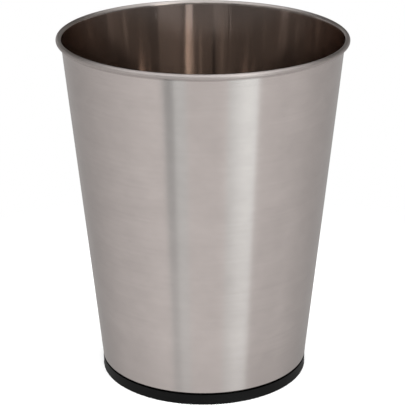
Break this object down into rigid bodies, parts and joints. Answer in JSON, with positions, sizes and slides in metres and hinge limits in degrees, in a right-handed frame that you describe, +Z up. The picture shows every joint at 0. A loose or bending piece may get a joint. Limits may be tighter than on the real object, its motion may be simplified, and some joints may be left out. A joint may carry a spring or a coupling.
{
  "type": "wastebasket",
  "caption": "Open-top round tapered wastebasket of brushed stainless steel with a rolled rim and a black plastic base ring.",
  "frame": {"origin": "centre of the base, on the floor plane", "axes": "+Z up along the basket's axis, -Y towards the viewer who faces the front, with the welded seam near +Y"},
  "size_m": [0.26, 0.26, 0.317],
  "materials": {
    "shell_steel": "brushed round the axis outside, bright inside and on the rim bead",
    "pan_steel": "bright mill finish",
    "ring_plastic": "satin moulded"
  },
  "bodies": {
    "root": {"body_shell": "shell_steel", "bottom_pan": "pan_steel", "base_ring": "ring_plastic"}
  },
  "joints": []
}
